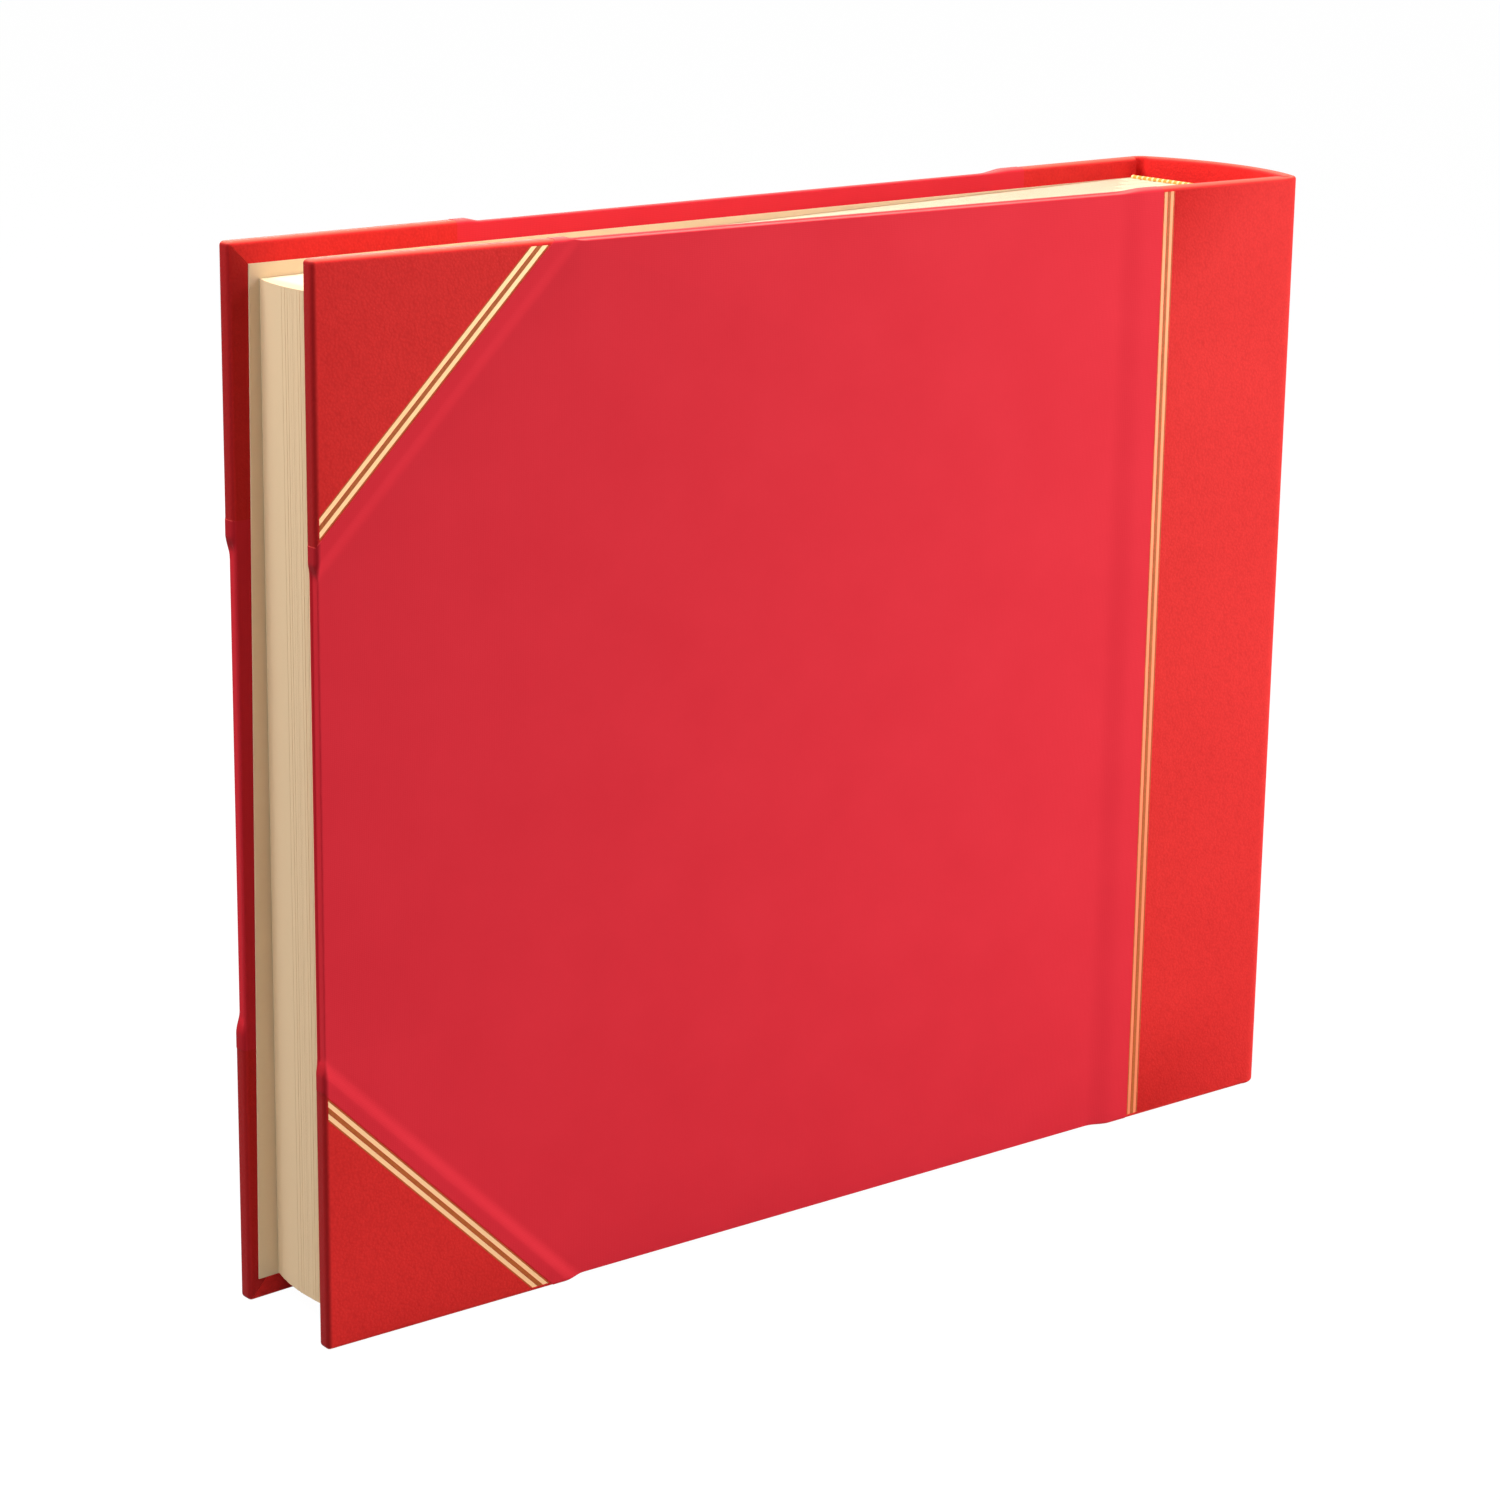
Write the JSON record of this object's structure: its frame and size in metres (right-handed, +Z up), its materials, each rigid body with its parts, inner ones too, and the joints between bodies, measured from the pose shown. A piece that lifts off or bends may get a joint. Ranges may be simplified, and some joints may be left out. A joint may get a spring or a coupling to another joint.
{
  "type": "stamp album",
  "caption": "Upright landscape stamp album in half leather: rounded hollow spine, leather corners, cloth sides, gold rules and cream guarded leaves.",
  "frame": {"origin": "middle of the foot of the closed, standing album", "axes": "+X along the covers from fore-edge to spine, +Y from the front cover to the back cover, +Z up from foot to head"},
  "size_m": [0.3215, 0.062, 0.265],
  "materials": {
    "leather": "fine pebble grain, low sheen",
    "book_cloth": "fine woven book cloth, matt",
    "gold_foil": "blocked gold foil",
    "grey_board": "grey board",
    "endpaper": "cream endpaper",
    "leaf_card": "cream leaf card",
    "guard_paper": "cream guard paper",
    "kraft_paper": "kraft",
    "mull_cloth": "open gauze",
    "tape_cotton": "woven tape",
    "linen_thread": "waxed linen thread",
    "band_silk": "gold silk"
  },
  "bodies": {
    "spine": {"spine_leather": "leather", "spine_stiffener": "grey_board", "kraft_hollow": "kraft_paper", "mull": "mull_cloth", "tapes": "tape_cotton", "sewing_thread": "linen_thread", "head_band": "band_silk", "tail_band": "band_silk", "guards_01": "guard_paper", "guards_02": "guard_paper", "guards_03": "guard_paper", "guards_04": "guard_paper", "guards_05": "guard_paper", "guards_06": "guard_paper", "guards_07": "guard_paper", "guards_08": "guard_paper", "guards_09": "guard_paper", "guards_10": "guard_paper"},
    "front_cover": {"front_board": "grey_board", "front_board_lining": "grey_board", "front_cloth": "book_cloth", "front_spine_side_leather": "leather", "front_head_corner": "leather", "front_tail_corner": "leather", "front_gold_rules": "gold_foil", "front_paste_down": "endpaper"},
    "back_cover": {"back_board": "grey_board", "back_board_lining": "grey_board", "back_cloth": "book_cloth", "back_spine_side_leather": "leather", "back_head_corner": "leather", "back_tail_corner": "leather", "back_gold_rules": "gold_foil", "back_paste_down": "endpaper"},
    "section_01": {"leaves_01": "leaf_card", "front_flyleaf": "endpaper"},
    "section_02": {"leaves_02": "leaf_card"},
    "section_03": {"leaves_03": "leaf_card"},
    "section_04": {"leaves_04": "leaf_card"},
    "section_05": {"leaves_05": "leaf_card"},
    "section_06": {"leaves_06": "leaf_card"},
    "section_07": {"leaves_07": "leaf_card"},
    "section_08": {"leaves_08": "leaf_card"},
    "section_09": {"leaves_09": "leaf_card"},
    "section_10": {"leaves_10": "leaf_card", "back_flyleaf": "endpaper"}
  },
  "joints": [
    {"name": "front_cover_hinge", "type": "hinge", "parent": "spine", "child": "front_cover", "pos_m": [0.15275, -0.03103, 0.1325], "axis": [0, 0, 1], "range_deg": [0, 179]},
    {"name": "back_cover_hinge", "type": "hinge", "parent": "spine", "child": "back_cover", "pos_m": [0.15275, 0.03103, 0.1325], "axis": [0, 0, -1], "range_deg": [0, 179]},
    {"name": "section_01_turn", "type": "hinge", "parent": "spine", "child": "section_01", "pos_m": [0.13475, -0.02277, 0.1325], "axis": [0, 0, 1], "range_deg": [0, 104]},
    {"name": "section_02_turn", "type": "hinge", "parent": "spine", "child": "section_02", "pos_m": [0.12875, -0.01757, 0.1325], "axis": [0, 0, 1], "range_deg": [0, 100]},
    {"name": "section_03_turn", "type": "hinge", "parent": "spine", "child": "section_03", "pos_m": [0.12275, -0.01244, 0.1325], "axis": [0, 0, 1], "range_deg": [0, 96]},
    {"name": "section_04_turn", "type": "hinge", "parent": "spine", "child": "section_04", "pos_m": [0.11675, -0.0074, 0.1325], "axis": [0, 0, 1], "range_deg": [0, 92]},
    {"name": "section_05_turn", "type": "hinge", "parent": "spine", "child": "section_05", "pos_m": [0.11075, -0.00245, 0.1325], "axis": [0, 0, 1], "range_deg": [0, 88]},
    {"name": "section_06_turn", "type": "hinge", "parent": "spine", "child": "section_06", "pos_m": [0.11075, 0.00245, 0.1325], "axis": [0, 0, -1], "range_deg": [0, 88]},
    {"name": "section_07_turn", "type": "hinge", "parent": "spine", "child": "section_07", "pos_m": [0.11675, 0.0074, 0.1325], "axis": [0, 0, -1], "range_deg": [0, 92]},
    {"name": "section_08_turn", "type": "hinge", "parent": "spine", "child": "section_08", "pos_m": [0.12275, 0.01244, 0.1325], "axis": [0, 0, -1], "range_deg": [0, 96]},
    {"name": "section_09_turn", "type": "hinge", "parent": "spine", "child": "section_09", "pos_m": [0.12875, 0.01757, 0.1325], "axis": [0, 0, -1], "range_deg": [0, 100]},
    {"name": "section_10_turn", "type": "hinge", "parent": "spine", "child": "section_10", "pos_m": [0.13475, 0.02277, 0.1325], "axis": [0, 0, -1], "range_deg": [0, 104]}
  ],
  "couplings": [
    {"joint": "section_01_turn", "follows": "front_cover_hinge", "ratio": 0.581},
    {"joint": "section_02_turn", "follows": "front_cover_hinge", "ratio": 0.5586},
    {"joint": "section_03_turn", "follows": "front_cover_hinge", "ratio": 0.5363},
    {"joint": "section_04_turn", "follows": "front_cover_hinge", "ratio": 0.5139},
    {"joint": "section_05_turn", "follows": "front_cover_hinge", "ratio": 0.4916},
    {"joint": "section_06_turn", "follows": "back_cover_hinge", "ratio": 0.4916},
    {"joint": "section_07_turn", "follows": "back_cover_hinge", "ratio": 0.5139},
    {"joint": "section_08_turn", "follows": "back_cover_hinge", "ratio": 0.5363},
    {"joint": "section_09_turn", "follows": "back_cover_hinge", "ratio": 0.5586},
    {"joint": "section_10_turn", "follows": "back_cover_hinge", "ratio": 0.581}
  ]
}
